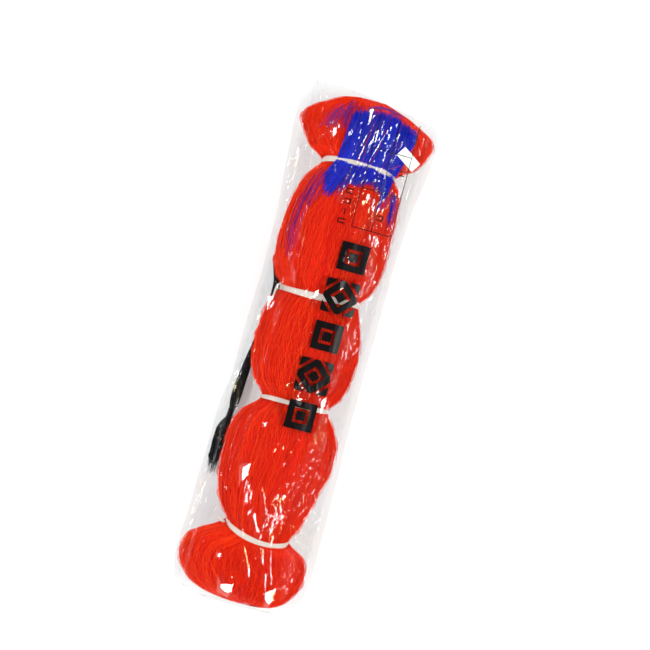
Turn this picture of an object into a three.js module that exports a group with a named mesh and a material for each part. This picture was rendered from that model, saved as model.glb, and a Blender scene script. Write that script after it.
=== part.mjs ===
// A long bundle of light netting, tied in with flat tape at four places into five bunches, in a
// clear film bag with an open mouth. A small hank of dark cord lies beside the net in the bag.
// Millimetres. +Z is up, +Y runs along the bundle to the bag's mouth, and +X is to the right.
// The bag lies on its back, and the origin is under the middle of its box, on the surface it lies on.
import * as THREE from "three";

// Bag. The sleeve is held open far enough for the bundle to slide out of the mouth.
const BAG_LENGTH = 644;
const MOUTH_REACH = 90;
const MOUTH_FLARE_LENGTH = 70;
const FILM_WALL = 1;
const FILM_CLEARANCE = 1.4;
const SEAL_WIDTH = 4.3;
const SEAL_REACH = [-58, 46];
const SEAL_HEIGHT = 26;
const SEAL_THICKNESS = 2;
const FLOOR_STRIP_REACH = 42;
const FLOOR_STRIP_START = -292;
const FILM_STEPS = 22;
const CREASE_GAP = 0.3;
const SHOULDER_PLACE = -250;
const SEALED_END_MARGIN = 12;
const SLEEVE_MARGIN = 55;
const SLEEVE_STATIONS = [-317.4, -309, -300, -290, -276, -262, -236, -190, -140, 0, 140, 252, 322];

// Small gap between pieces that rest on each other
const GAP = 0.35;

// Net bunches from the sealed end to the mouth. Each row is one section:
// place along Y, reach to the left, reach to the right, half thickness, height of its middle.
const BUNCHES = [
  [
    [-315.5, 22, 22, 5, 27], [-310, 50, 40, 11, 28], [-302, 66, 50, 16, 29.5],
    [-294, 74, 56, 20, 30.5], [-282, 84, 63, 23, 31.5], [-268, 87.5, 66, 24.5, 32.5],
    [-254, 82, 63, 25, 33.5], [-243, 66, 58, 25, 34.8], [-235.3, 50, 46, 24.5, 35.8],
  ],
  [
    [-221.7, 44, 38, 25, 36], [-212, 51, 44, 28, 36.6], [-190, 60, 51, 33, 37.3],
    [-162, 66, 57, 35.5, 37.5], [-136, 67, 64, 36, 37.5], [-112, 66, 64, 35, 37.5],
    [-88, 57, 55, 31, 37.2], [-73.8, 42, 45, 25.5, 36.5],
  ],
  [
    [-61.2, 41, 44, 25.5, 36.5], [-48, 54, 53, 31, 37.2], [-28, 61, 58, 34.5, 37.5],
    [2, 65, 60, 36, 37.5], [32, 62, 55, 34.5, 37.5], [50, 57, 49, 30, 37], [58.2, 52, 46, 26.5, 36.5],
  ],
  [
    [70.8, 53, 48, 26, 36.5], [78, 60, 53, 29, 36.8], [98, 67, 60, 34, 37.4],
    [128, 69, 62, 36, 37.5], [164, 66, 62, 35.5, 37.5], [196, 58, 60, 31, 37],
    [211, 50, 55, 27, 36.5], [217.7, 44, 49, 25, 36.2],
  ],
  [
    [230.3, 46, 52, 24.5, 35.5], [237, 58, 62, 25, 34.5], [246, 66, 72, 25, 33],
    [257, 74, 78, 24.5, 32], [268, 80, 82, 23.5, 31], [278, 76, 78, 21.5, 30],
    [287, 65, 64, 18.5, 29.5], [296, 50, 46, 14.5, 29], [303, 38, 28, 9.5, 28.5],
    [307.5, 20, 14, 4.5, 28.5],
  ],
];
const BUNCH_SIDES = 32;

// Waists between the bunches: the netting that a tape tie draws in.
const WAIST_SIDES = 24;
const WAISTS = [
  { start: -235, end: -222, left: 42, right: 37, half: 23.5, height: 36 },
  { start: -73.5, end: -61.5, left: 39, right: 42, half: 24, height: 36.5 },
  { start: 58.5, end: 70.5, left: 50, right: 45, half: 25, height: 36.5 },
  { start: 218, end: 230, left: 42, right: 47, half: 23.5, height: 36 },
];

// Tape ties: a flat band round each waist, and a knot with two tails under it
const TAPE_WIDTH = 7;
const TAPE_THICKNESS = 1;
const KNOT_REACH = 5;
const KNOT_THICKNESS = 3;
const TAIL_REACH = 24;
const TAIL_WIDTH = 5;
const KNOT_OFFSETS = [-20, 14, -16, 10];

// Marker yarns: a thin layer of contrasting yarn over the two bunches next to the mouth
const YARN_LIFT = 0.8;
const YARN_THICKNESS = 1.7;
const YARN_ON_END_BUNCH = { bunch: 4, start: 231, end: 300, left: -30, right: 56, columns: 12 };
const YARN_ON_NEXT_BUNCH = { bunch: 3, start: 180, end: 217, left: -34, right: 44, columns: 12 };

// Paper tag, lying aslant on the marker yarns
const TAG_LENGTH = 27;
const TAG_WIDTH = 14;
const TAG_THICKNESS = 0.6;
const TAG_TURN = 123;
const TAG_PLACE = [57, 249];
const TAG_LIFT = 3.2;
// The bunch's section that the tag takes its curve from, so that it bends one way only
const TAG_SECTION = 252;

// Cord hank. Each row is one section:
// place along Y, middle in X, half width, half height, height of its middle.
const HANK = [
  [-162, -76, 3.5, 3.5, 6], [-155, -76, 6.5, 5, 7], [-140, -76.5, 8, 6, 7.5],
  [-122, -75.6, 8.3, 6.2, 7.7], [-108, -73, 6.8, 5.8, 7.6], [-102.5, -71.6, 4.6, 4.6, 8.2],
  [-95.5, -70.6, 4.6, 4.6, 8.2], [-89, -70, 6.4, 5.6, 7.4], [-76, -69.6, 7, 6, 7.5],
  [-58, -68.5, 6.6, 5.8, 7.3], [-38, -66.6, 6, 5.4, 7], [0, -61, 5.6, 5, 6.6],
  [40, -57.4, 5.6, 5, 6.5], [64, -57, 5, 4.8, 6.3], [82, -62, 4.6, 4.6, 6.2], [100, -69, 3, 3, 5],
];
const HANK_SIDES = 14;
const WRAP_WIDTH = 6;
const WRAP_THICKNESS = 1.6;
const WRAP_PLACE = { y: -99, x: -71.1, half: 4.6, height: 8.2 };

const netting = new THREE.MeshStandardMaterial({ color: 0xe0371a, roughness: 0.62 });
const markerYarn = new THREE.MeshStandardMaterial({ color: 0x1d2fb4, roughness: 0.55 });
const tape = new THREE.MeshStandardMaterial({ color: 0xece4d2, roughness: 0.5 });
const paper = new THREE.MeshStandardMaterial({ color: 0xf1f0ea, roughness: 0.85 });
const darkCord = new THREE.MeshStandardMaterial({ color: 0x1c1c1e, roughness: 0.8 });
const film = new THREE.MeshStandardMaterial({
  color: 0xe9eef0,
  roughness: 0.12,
  transparent: true,
  opacity: 0.3,
});

// A closed body from rings of points that all run the same way round, each closed by a flat fan.
function loft(rings) {
  const sides = rings[0].length;
  const positions = rings.flat().flatMap((p) => [p.x, p.y, p.z]);
  const index = [];
  for (let r = 0; r < rings.length - 1; r += 1) {
    for (let s = 0; s < sides; s += 1) {
      const a = r * sides + s;
      const b = r * sides + ((s + 1) % sides);
      index.push(a, b, a + sides, b, b + sides, a + sides);
    }
  }
  const lastRing = (rings.length - 1) * sides;
  for (let s = 1; s < sides - 1; s += 1) {
    index.push(0, s + 1, s);
    index.push(lastRing, lastRing + s, lastRing + s + 1);
  }
  return indexedGeometry(positions, index);
}

// A closed skin between two grids of points with the same rows and columns.
// With wrap set, the last column joins the first, which makes a band with two open ends.
function skin(outer, inner, wrap = false) {
  const rows = outer.length;
  const columns = outer[0].length;
  const positions = [...outer, ...inner].flat().flatMap((p) => [p.x, p.y, p.z]);
  const half = rows * columns;
  const at = (row, column) => row * columns + (column % columns);
  const index = [];
  const quad = (a, b, c, d) => index.push(a, b, c, a, c, d);
  const spans = wrap ? columns : columns - 1;
  for (let c = 0; c < spans; c += 1) {
    for (let r = 0; r < rows - 1; r += 1) {
      const [a, b, d, e] = [at(r, c), at(r, c + 1), at(r + 1, c + 1), at(r + 1, c)];
      quad(a, b, d, e);
      quad(half + a, half + e, half + d, half + b);
    }
    quad(at(0, c), half + at(0, c), half + at(0, c + 1), at(0, c + 1));
    const last = rows - 1;
    quad(at(last, c), at(last, c + 1), half + at(last, c + 1), half + at(last, c));
  }
  if (!wrap) {
    const edge = columns - 1;
    for (let r = 0; r < rows - 1; r += 1) {
      quad(at(r, 0), at(r + 1, 0), half + at(r + 1, 0), half + at(r, 0));
      quad(at(r, edge), half + at(r, edge), half + at(r + 1, edge), at(r + 1, edge));
    }
  }
  return indexedGeometry(positions, index);
}

function indexedGeometry(positions, index) {
  const geometry = new THREE.BufferGeometry();
  geometry.setAttribute("position", new THREE.Float32BufferAttribute(positions, 3));
  geometry.setIndex(index);
  geometry.computeVertexNormals();
  return geometry;
}

// One oval section across Y, seen from the mouth, with the points running so that a loft in +Y faces out.
function oval(y, middle, halfWidth, halfHeight, height, sides) {
  const points = [];
  for (let s = 0; s < sides; s += 1) {
    const angle = -(s / sides) * Math.PI * 2;
    const x = middle + halfWidth * Math.cos(angle);
    points.push(new THREE.Vector3(x, y, height + halfHeight * Math.sin(angle)));
  }
  return points;
}

function bunchOval([y, left, right, half, height], sides) {
  return oval(y, (right - left) / 2, (right + left) / 2, half, height, sides);
}

function netBunch(rows) {
  return loft(rows.map((row) => bunchOval(row, BUNCH_SIDES)));
}

function netWaist({ start, end, left, right, half, height }) {
  return loft([start, end].map((y) => bunchOval([y, left, right, half, height], WAIST_SIDES)));
}

// The tape band round a waist, clear of it by the gap.
function tapeTie({ start, end, left, right, half, height }) {
  const middle = (start + end) / 2;
  const grid = (lift) =>
    [-TAPE_WIDTH / 2, TAPE_WIDTH / 2].map((step) =>
      bunchOval([middle + step, left + lift, right + lift, half + lift, height], WAIST_SIDES),
    );
  return skin(grid(GAP + TAPE_THICKNESS), grid(GAP), true);
}

// A flat knot with a tapering tail to each side, under the waist.
function tapeKnot({ start, end, half, height }, offset) {
  const outline = new THREE.Shape();
  outline.moveTo(-TAIL_REACH, -TAIL_WIDTH / 2);
  outline.lineTo(-KNOT_REACH, -TAIL_WIDTH / 3);
  outline.quadraticCurveTo(0, -TAIL_WIDTH * 1.4, KNOT_REACH, -TAIL_WIDTH / 3);
  outline.lineTo(TAIL_REACH, -TAIL_WIDTH / 2);
  outline.lineTo(TAIL_REACH - 2, TAIL_WIDTH / 2);
  outline.lineTo(KNOT_REACH, TAIL_WIDTH / 3);
  outline.quadraticCurveTo(0, TAIL_WIDTH * 1.4, -KNOT_REACH, TAIL_WIDTH / 3);
  outline.lineTo(-TAIL_REACH + 2, TAIL_WIDTH / 2);
  outline.closePath();
  const knot = new THREE.ExtrudeGeometry(outline, {
    depth: KNOT_THICKNESS,
    bevelEnabled: false,
    curveSegments: 6,
  });
  const top = height - half - 2 * GAP - TAPE_THICKNESS;
  knot.translate(offset, (start + end) / 2, top - KNOT_THICKNESS);
  return knot;
}

// Values of a bunch's section at any place along it.
function sectionAt(rows, y) {
  const next = Math.max(1, rows.findIndex((row) => row[0] >= y));
  const [from, to] = [rows[next - 1], rows[next]];
  const share = (y - from[0]) / (to[0] - from[0]);
  return from.map((value, i) => value + share * (to[i] - value));
}

// Height of a bunch's upper surface over a point.
function topOfBunch(rows, x, y) {
  const [, left, right, half, height] = sectionAt(rows, y);
  const across = (x - (right - left) / 2) / ((right + left) / 2);
  return height + half * Math.sqrt(Math.max(0, 1 - across * across));
}

function yarnLayer({ bunch, start, end, left, right, columns }) {
  const rows = BUNCHES[bunch];
  const places = [start, ...rows.map((row) => row[0]).filter((y) => y > start && y < end), end];
  const grid = (lift) =>
    places.map((y) => {
      const [, reachLeft, reachRight] = sectionAt(rows, y);
      const low = Math.max(left, -0.8 * reachLeft);
      const high = Math.min(right, 0.8 * reachRight);
      return Array.from({ length: columns + 1 }, (_, c) => {
        const x = low + ((high - low) * c) / columns;
        return new THREE.Vector3(x, y, topOfBunch(rows, x, y) + lift);
      });
    });
  return skin(grid(YARN_LIFT + YARN_THICKNESS), grid(YARN_LIFT));
}

function paperTag() {
  const rows = BUNCHES[4];
  const turn = THREE.MathUtils.degToRad(TAG_TURN);
  const steps = 4;
  const grid = (lift) =>
    Array.from({ length: steps + 1 }, (_, r) =>
      Array.from({ length: steps + 1 }, (_, c) => {
        const across = (c / steps - 0.5) * TAG_WIDTH;
        const along = (r / steps - 0.5) * TAG_LENGTH;
        const x = TAG_PLACE[0] + across * Math.cos(turn) + along * Math.sin(turn);
        const y = TAG_PLACE[1] - across * Math.sin(turn) + along * Math.cos(turn);
        return new THREE.Vector3(x, y, topOfBunch(rows, x, TAG_SECTION) + lift);
      }),
    );
  return skin(grid(TAG_LIFT + TAG_THICKNESS), grid(TAG_LIFT));
}

function cordHank() {
  return loft(HANK.map(([y, x, wide, high, height]) => oval(y, x, wide, high, height, HANK_SIDES)));
}

// The turns of cord that bind the hank at its narrow place.
function hankWrap() {
  const { y, x, half, height } = WRAP_PLACE;
  const grid = (reach) =>
    [-WRAP_WIDTH / 2, 0, WRAP_WIDTH / 2].map((step) =>
      oval(y + step, x + step * 0.14, half + reach, half + reach, height, HANK_SIDES),
    );
  return skin(grid(2 * GAP + WRAP_THICKNESS), grid(2 * GAP), true);
}

// Convex hull of a set of points, seen along Y: its upper and lower edges, each from left to right.
function hullEdges(points) {
  const sorted = [...points].sort((p, q) => p.x - q.x || p.z - q.z);
  const turn = (o, a, b) => (a.x - o.x) * (b.z - o.z) - (a.z - o.z) * (b.x - o.x);
  const edge = (side) => {
    const kept = [];
    for (const p of sorted) {
      while (kept.length > 1 && side * turn(kept.at(-2), kept.at(-1), p) <= 0) {
        kept.pop();
      }
      kept.push(p);
    }
    return kept;
  };
  return { upper: edge(-1), lower: edge(1) };
}

// Evenly spaced points along a line of points, starting and ending a little inside it.
function evenPoints(line, steps, trim) {
  const lengths = line.slice(1).map((p, i) => p.distanceTo(line[i]));
  const total = lengths.reduce((sum, length) => sum + length, 0);
  return Array.from({ length: steps + 1 }, (_, i) => {
    let left = trim + ((total - 2 * trim) * i) / steps;
    let span = 0;
    while (span < lengths.length - 1 && left > lengths[span]) {
      left -= lengths[span];
      span += 1;
    }
    return line[span].clone().lerp(line[span + 1], left / lengths[span]);
  });
}

// Hull of all that lies at one place in the bag or has to pass it on the way out of the mouth,
// with every section swollen by a clearance.
function contentsHull(y, swell) {
  const margin = y < SHOULDER_PLACE ? SEALED_END_MARGIN : SLEEVE_MARGIN;
  const points = [];
  for (const [at, left, right, half, height] of BUNCHES.flat()) {
    if (at <= y + margin) {
      const swollen = [y, left + swell, right + swell, half + swell, height];
      points.push(...bunchOval(swollen, BUNCH_SIDES));
    }
  }
  for (const [at, x, wide, high, height] of HANK) {
    if (at <= y + margin) {
      const reach = wide + WRAP_THICKNESS + swell;
      points.push(...oval(y, x, reach, high + swell, height, HANK_SIDES));
    }
  }
  if (y > FLOOR_STRIP_START) {
    points.push(new THREE.Vector3(-FLOOR_STRIP_REACH, y, 0), new THREE.Vector3(FLOOR_STRIP_REACH, y, 0));
  }
  return hullEdges(points);
}

// One row of a film's points, from one side crease of the sleeve to the other.
function filmRow(y, lift, isFront) {
  const hull = contentsHull(y, FILM_CLEARANCE + lift);
  const line = evenPoints(isFront ? hull.upper : hull.lower, FILM_STEPS, CREASE_GAP);
  const flare = Math.max(0, 1 - (BAG_LENGTH / 2 - y) / MOUTH_FLARE_LENGTH);
  line.forEach((p, i) => {
    const spread = flare * Math.cos((Math.PI * i) / FILM_STEPS) ** 8;
    p.x += spread * ((MOUTH_REACH - FILM_WALL + lift) * Math.sign(p.x) - p.x);
    p.z = Math.max(p.z, FILM_WALL - lift);
  });
  return isFront ? line : line.reverse();
}

function bagFilm(isFront) {
  const grid = (lift) => SLEEVE_STATIONS.map((y) => filmRow(y, lift, isFront));
  return skin(grid(FILM_WALL), grid(0));
}

// The welded hem that closes the bag's far end: it starts as the sleeve's outline and ends flat.
function bottomSeal() {
  const start = SLEEVE_STATIONS[0] - GAP;
  const outline = [...filmRow(start, FILM_WALL, true), ...filmRow(start, FILM_WALL, false)];
  const middle = (SEAL_REACH[0] + SEAL_REACH[1]) / 2;
  const reach = (SEAL_REACH[1] - SEAL_REACH[0]) / 2;
  const half = outline.length / 2;
  const end = outline.map((_, i) => {
    const turn = Math.PI * (1 - (i < half ? i / (half - 1) : 1 + (i - half + 1) / (half + 1)));
    const z = SEAL_HEIGHT + (SEAL_THICKNESS / 2) * Math.sin(turn);
    return new THREE.Vector3(middle + reach * Math.cos(turn), start - SEAL_WIDTH, z);
  });
  return loft([end, outline]);
}

function piece(name, geometry, material) {
  const mesh = new THREE.Mesh(geometry, material);
  mesh.name = name;
  return mesh;
}

const baggedNet = new THREE.Group();
BUNCHES.forEach((rows, i) => {
  baggedNet.add(piece(`net_bunch_${i + 1}`, netBunch(rows), netting));
});
WAISTS.forEach((waist, i) => {
  baggedNet.add(piece(`net_waist_${i + 1}`, netWaist(waist), netting));
  baggedNet.add(piece(`tape_tie_${i + 1}`, tapeTie(waist), tape));
  baggedNet.add(piece(`tape_knot_${i + 1}`, tapeKnot(waist, KNOT_OFFSETS[i]), tape));
});
baggedNet.add(piece("marker_yarn_end", yarnLayer(YARN_ON_END_BUNCH), markerYarn));
baggedNet.add(piece("marker_yarn_tails", yarnLayer(YARN_ON_NEXT_BUNCH), markerYarn));
baggedNet.add(piece("paper_tag", paperTag(), paper));
baggedNet.add(piece("cord_hank", cordHank(), darkCord));
baggedNet.add(piece("cord_hank_wrap", hankWrap(), darkCord));
baggedNet.add(piece("bag_front_film", bagFilm(true), film));
baggedNet.add(piece("bag_back_film", bagFilm(false), film));
baggedNet.add(piece("bag_bottom_seal", bottomSeal(), film));

export default baggedNet;
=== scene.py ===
"""A bagged bundle of orange netting: the looks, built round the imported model, in metres."""
import math

import bpy
import numpy as np
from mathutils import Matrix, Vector


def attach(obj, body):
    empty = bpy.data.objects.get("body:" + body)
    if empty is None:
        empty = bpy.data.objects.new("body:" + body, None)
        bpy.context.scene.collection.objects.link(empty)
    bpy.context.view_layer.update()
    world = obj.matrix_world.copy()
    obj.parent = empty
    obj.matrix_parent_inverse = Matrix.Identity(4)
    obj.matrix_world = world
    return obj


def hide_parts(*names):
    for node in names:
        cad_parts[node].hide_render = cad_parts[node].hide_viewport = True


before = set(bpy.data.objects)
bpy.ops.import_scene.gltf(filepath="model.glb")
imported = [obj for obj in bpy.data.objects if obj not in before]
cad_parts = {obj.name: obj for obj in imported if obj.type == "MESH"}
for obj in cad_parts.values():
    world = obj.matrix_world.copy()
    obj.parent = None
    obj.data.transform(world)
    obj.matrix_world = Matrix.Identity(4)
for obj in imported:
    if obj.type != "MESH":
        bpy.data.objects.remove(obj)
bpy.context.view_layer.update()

MM = 0.001
ROUND = 2 * math.pi

# ---------------------------------------------------------------- small tools


def srgb(red, green, blue):
    """A colour given as 0 to 255 values, as the linear numbers that a shader takes."""
    def linear(value):
        value /= 255
        return value / 12.92 if value <= 0.04045 else ((value + 0.055) / 1.055) ** 2.4
    return (linear(red), linear(green), linear(blue), 1)


def bell(value, middle, reach):
    """1 at the middle, falling off smoothly to either side."""
    return np.exp(-(((value - middle) / reach) ** 2))


def climb(value, start, width):
    """0 up to the start, 1 beyond the width, straight between them."""
    return np.clip((value - start) / width, 0, 1)


def triangle(value):
    """A wave of straight flanks, from -1 to 1, once every whole number."""
    return 2 * np.abs(2 * (value % 1) - 1) - 1


def smoothed(rows, times):
    """The rows, each evened out with the next ones but for the first and the last."""
    for _ in range(times):
        rows[1:-1] = (rows[:-2] + 2 * rows[1:-1] + rows[2:]) / 4
    return rows


def unit(vectors):
    """The vectors at length 1."""
    return vectors / (np.linalg.norm(vectors, axis=-1, keepdims=True) + 1e-12)


def lengths_along(path):
    """How far along the path each of its points lies."""
    return np.concatenate([[0], np.cumsum(np.linalg.norm(np.diff(path, axis=0), axis=1))])


def add_piece(name, mesh_parts, material, body, slot, smooth=True, replaces=(), **painted):
    """A mesh piece that rides on a body and wears one material. mesh_parts holds its points and faces.
    painted holds numbers for each vertex, which the material reads by their name."""
    points, faces = mesh_parts
    mesh = bpy.data.meshes.new(name)
    mesh.from_pydata(np.asarray(points).tolist(), [], [list(face) for face in faces])
    mesh.polygons.foreach_set("use_smooth", [smooth] * len(mesh.polygons))
    mesh.materials.append(material)
    for key, values in painted.items():
        attribute = mesh.attributes.new(key, "FLOAT", "POINT")
        attribute.data.foreach_set("value", np.asarray(values, np.float32))
    piece = bpy.data.objects.new(name, mesh)
    bpy.context.scene.collection.objects.link(piece)
    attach(piece, body)
    if replaces:
        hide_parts(*replaces)
    return piece


def grid_faces(rows, columns, wrap=False):
    """Quads between the points of a grid, row by row."""
    faces = []
    for r in range(rows - 1):
        for c in range(columns if wrap else columns - 1):
            a = r * columns + c
            b = r * columns + (c + 1) % columns
            faces.append((a, b, b + columns, a + columns))
    return faces


def tube_faces(rows, ring):
    """The faces of one closed tube: its wall and its two ends."""
    last = (rows - 1) * ring
    return [*grid_faces(rows, ring, wrap=True), tuple(range(ring))[::-1], tuple(range(last, last + ring))]


def tubes(paths, radius, sides):
    """Closed round tubes along many paths of the same number of points: points and faces.
    paths is an array of strand, point, xyz."""
    paths = np.asarray(paths, float)
    count, steps = paths.shape[:2]
    along = unit(np.gradient(paths, axis=1))
    side = np.cross(along, (0.0, 0.0, 1.0))
    steep = np.linalg.norm(side, axis=2, keepdims=True) <= 0.15
    side = np.where(steep, np.array([1.0, 0, 0]), unit(side))
    side = unit(side - along * (side * along).sum(2, keepdims=True))
    up = np.cross(side, along)
    turns = np.arange(sides)[:, None] * ROUND / sides + math.pi / sides
    ring = np.cos(turns) * side[:, :, None, :] + np.sin(turns) * up[:, :, None, :]
    points = (paths[:, :, None, :] + radius * ring).reshape(-1, 3)
    first = np.arange(count)[:, None, None] * steps * sides
    c = np.arange(sides)
    row = first + np.arange(steps - 1)[None, :, None] * sides
    a, b = row + c, row + (c + 1) % sides
    quads = np.stack([a, b, b + sides, a + sides], -1).reshape(-1, 4)
    low = first[:, 0] + c[::-1]
    high = first[:, 0] + (steps - 1) * sides + c
    return points, [*quads.tolist(), *low.tolist(), *high.tolist()]


def join(parts):
    """Several lots of points, faces and numbers for each point, as one mesh: points and faces, numbers."""
    faces = []
    start = 0
    for points, some_faces, *_ in parts:
        faces.extend([tuple(i + start for i in face) for face in some_faces])
        start += len(points)
    points, _, *numbers = zip(*parts)
    return (np.concatenate(points), faces), [np.concatenate(some) for some in numbers]


# ---------------------------------------------------------------- shape of the contents, read from the model


def sections(node):
    """A node's sections along Y, one a row: place, left edge, right edge, half thickness, mid height."""
    points = np.array([v.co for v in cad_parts[node].data.vertices])
    rows = []
    for place in np.unique(np.round(points[:, 1], 5)):
        ring = points[np.abs(points[:, 1] - place) < 0.02 * MM]
        low, high = ring.min(0), ring.max(0)
        rows.append((place, low[0], high[0], (high[2] - low[2]) / 2, (high[2] + low[2]) / 2))
    return np.array(rows)


def smooth_at(rows, places):
    """The rows' values at any places, along curves that never overshoot the rows."""
    at, values = rows[:, 0], rows[:, 1:]
    gap = np.diff(at)[:, None]
    slope = np.diff(values, axis=0) / gap
    product = slope[:-1] * slope[1:]
    steady = product > 0
    tangent = np.zeros_like(values)
    total = np.where(steady, slope[:-1] + slope[1:], 1)
    tangent[1:-1] = np.where(steady, 2 * product / total, 0)
    places = np.asarray(places, float)
    i = np.clip(np.searchsorted(at, places) - 1, 0, len(at) - 2)
    width = gap[i, 0][..., None]
    t = np.clip((places - at[i]) / gap[i, 0], 0, 1)[..., None]
    return (values[i] * (2 * t**3 - 3 * t**2 + 1) + tangent[i] * width * (t**3 - 2 * t**2 + t)
            + values[i + 1] * (3 * t**2 - 2 * t**3) + tangent[i + 1] * width * (t**3 - t**2))


def outline(rows, places):
    """The sections at any places: their middle, reach to either side, half thickness and height."""
    left, right, half, height = np.moveaxis(smooth_at(rows, places), -1, 0)
    return (left + right) / 2, (right - left) / 2, half, height


BUNCH_COUNT = 5
WAISTS = [sections(f"net_waist_{i + 1}").mean(0) for i in range(BUNCH_COUNT - 1)]
BUNCHES = [sections(f"net_bunch_{i + 1}") for i in range(BUNCH_COUNT)]
HANK = sections("cord_hank")


def end_row(row, step):
    """A last section just past a bunch's end, where its yarns turn over from top to bottom."""
    place, left, right, _, height = row
    middle = (left + right) / 2
    return np.array([place + step, (left + middle) / 2, (right + middle) / 2, 0.4 * MM, height])


BUNDLE = [end_row(BUNCHES[0][0], -0.8 * MM), *BUNCHES[0]]
for waist, bunch in zip(WAISTS, BUNCHES[1:]):
    BUNDLE.extend([waist, *bunch])
BUNDLE = np.array([*BUNDLE, end_row(BUNCHES[-1][-1], 0.8 * MM)])

# How far each tie bows along the bundle over its upper side, from the sealed end to the mouth
TIE_BOWS = [-11 * MM, 0.5 * MM, -1.5 * MM, 7 * MM]
TIE_TILTS = [-5 * MM, 0.5 * MM, 1 * MM, 0]
BOW_REACH = 24 * MM


def bowed(places, turns):
    """Where a place along the bundle really lies, once the ties' bow and tilt have moved it."""
    moved = np.array(places, float)
    for waist, bow, tilt in zip(WAISTS, TIE_BOWS, TIE_TILTS):
        near = bell(np.asarray(places), waist[0], BOW_REACH)
        moved = moved + near * (bow * (np.abs(np.sin(turns)) - 0.35) + tilt * np.cos(turns))
    return moved


def on_bundle(places, turns, depth):
    """Points at a depth under the bundle's surface. turns runs round each section from the right."""
    middle, reach, half, height = outline(BUNDLE, places)
    x = middle + np.maximum(reach - depth, 0.2 * MM) * np.cos(turns)
    z = height + np.maximum(half - depth, 0.1 * MM) * np.sin(turns)
    return np.stack([x, bowed(places, turns), z], -1)


class Ripples:
    """Smooth random numbers over two directions, made of a few crossed waves."""

    def __init__(self, seed, count, across, along):
        draw = np.random.default_rng(seed)
        self.across = draw.integers(*across, count)
        self.along = draw.uniform(*along, count) * draw.choice([-1, 1], count)
        self.phase = draw.uniform(0, ROUND, count)

    def __call__(self, turns, places):
        total = 0
        for across, along, phase in zip(self.across, self.along, self.phase):
            total = total + np.cos(across * turns + along * places + phase)
        return total / math.sqrt(len(self.phase))


# ---------------------------------------------------------------- camera, floor and light

# The camera looks straight down from high up, turned so that the bundle leans to the right.
LEAN = math.radians(15)
VIEW_MIDDLE = Vector((12 * MM, 33 * MM, 30 * MM))
VIEW_WIDTH = 780 * MM
LENS = 120
SENSOR = 36
VIEW_HEIGHT = VIEW_MIDDLE.z + VIEW_WIDTH * LENS / SENSOR


def make_camera():
    data = bpy.data.cameras.new("camera")
    data.lens = LENS
    data.sensor_width = SENSOR
    data.clip_end = 50
    camera = bpy.data.objects.new("camera", data)
    camera.location = (VIEW_MIDDLE.x, VIEW_MIDDLE.y, VIEW_HEIGHT)
    camera.rotation_euler = (0, 0, LEAN)
    bpy.context.scene.collection.objects.link(camera)
    bpy.context.scene.camera = camera


# The main lamp is a long narrow box to the right, half way up: film that tilts that way shines white.
# A narrower one stands opposite, for the film on the left that the bundle hides from the main lamp.
KEY_PLACE = (1.45, -0.12, 1.5)
KEY_LENGTH = 1.8
KEY_WIDTH = 0.4
LEFT_PLACE = (-1.45, 0.1, 1.5)
LEFT_LENGTH = 1.7
LEFT_WIDTH = 0.14
AIM_HEIGHT = 0.05
FLOOR_HALF = 12
FLOOR_DROP = 0.6 * MM


def area_light(name, place, aim_y, width, height, power, colour=(1, 1, 1), mirrored=True):
    data = bpy.data.lights.new(name, "AREA")
    data.shape = "RECTANGLE"
    data.size, data.size_y = width, height
    data.energy = power
    data.color = colour
    light = bpy.data.objects.new(name, data)
    light.location = place
    way = Vector((0, aim_y, AIM_HEIGHT)) - Vector(place)
    light.rotation_euler = way.to_track_quat("-Z", "Y").to_euler()
    light.visible_glossy = mirrored
    bpy.context.scene.collection.objects.link(light)


def make_stage():
    material = bpy.data.materials.new("floor")
    material.use_nodes = True
    settings = {"Base Color": (0.6, 0.6, 0.6, 1), "Emission Color": (1, 1, 1, 1), "Emission Strength": 0.32,
                "Roughness": 0.9, "Specular IOR Level": 0.1}
    for key, value in settings.items():
        material.node_tree.nodes["Principled BSDF"].inputs[key].default_value = value
    mesh = bpy.data.meshes.new("floor")
    signs = ((-1, -1), (1, -1), (1, 1), (-1, 1))
    corners = [(x * FLOOR_HALF, y * FLOOR_HALF, -FLOOR_DROP) for x, y in signs]
    mesh.from_pydata(corners, [], [(0, 1, 2, 3)])
    mesh.materials.append(material)
    floor = bpy.data.objects.new("floor", mesh)
    bpy.context.scene.collection.objects.link(floor)
    world = bpy.data.worlds.new("studio")
    world.use_nodes = True
    background = world.node_tree.nodes["Background"]
    background.inputs["Color"].default_value = (0.95, 0.97, 1, 1)
    background.inputs["Strength"].default_value = 0.16
    bpy.context.scene.world = world
    bpy.context.scene.view_settings.view_transform = "Standard"
    area_light("key", KEY_PLACE, KEY_PLACE[1], KEY_LENGTH, KEY_WIDTH, 52, (1, 0.99, 0.97))
    area_light("left_shine", LEFT_PLACE, LEFT_PLACE[1], LEFT_LENGTH, LEFT_WIDTH, 12)
    area_light("left_fill", (-1.7, 0, 1.3), 0, 2.4, 1.3, 44, mirrored=False)
    area_light("head_fill", (0, 2.0, 1.2), 0, 2.4, 1.2, 25, mirrored=False)
    area_light("foot_fill", (0, -2.0, 1.2), 0, 2.4, 1.2, 25, mirrored=False)


make_camera()

# ---------------------------------------------------------------- materials


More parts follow.
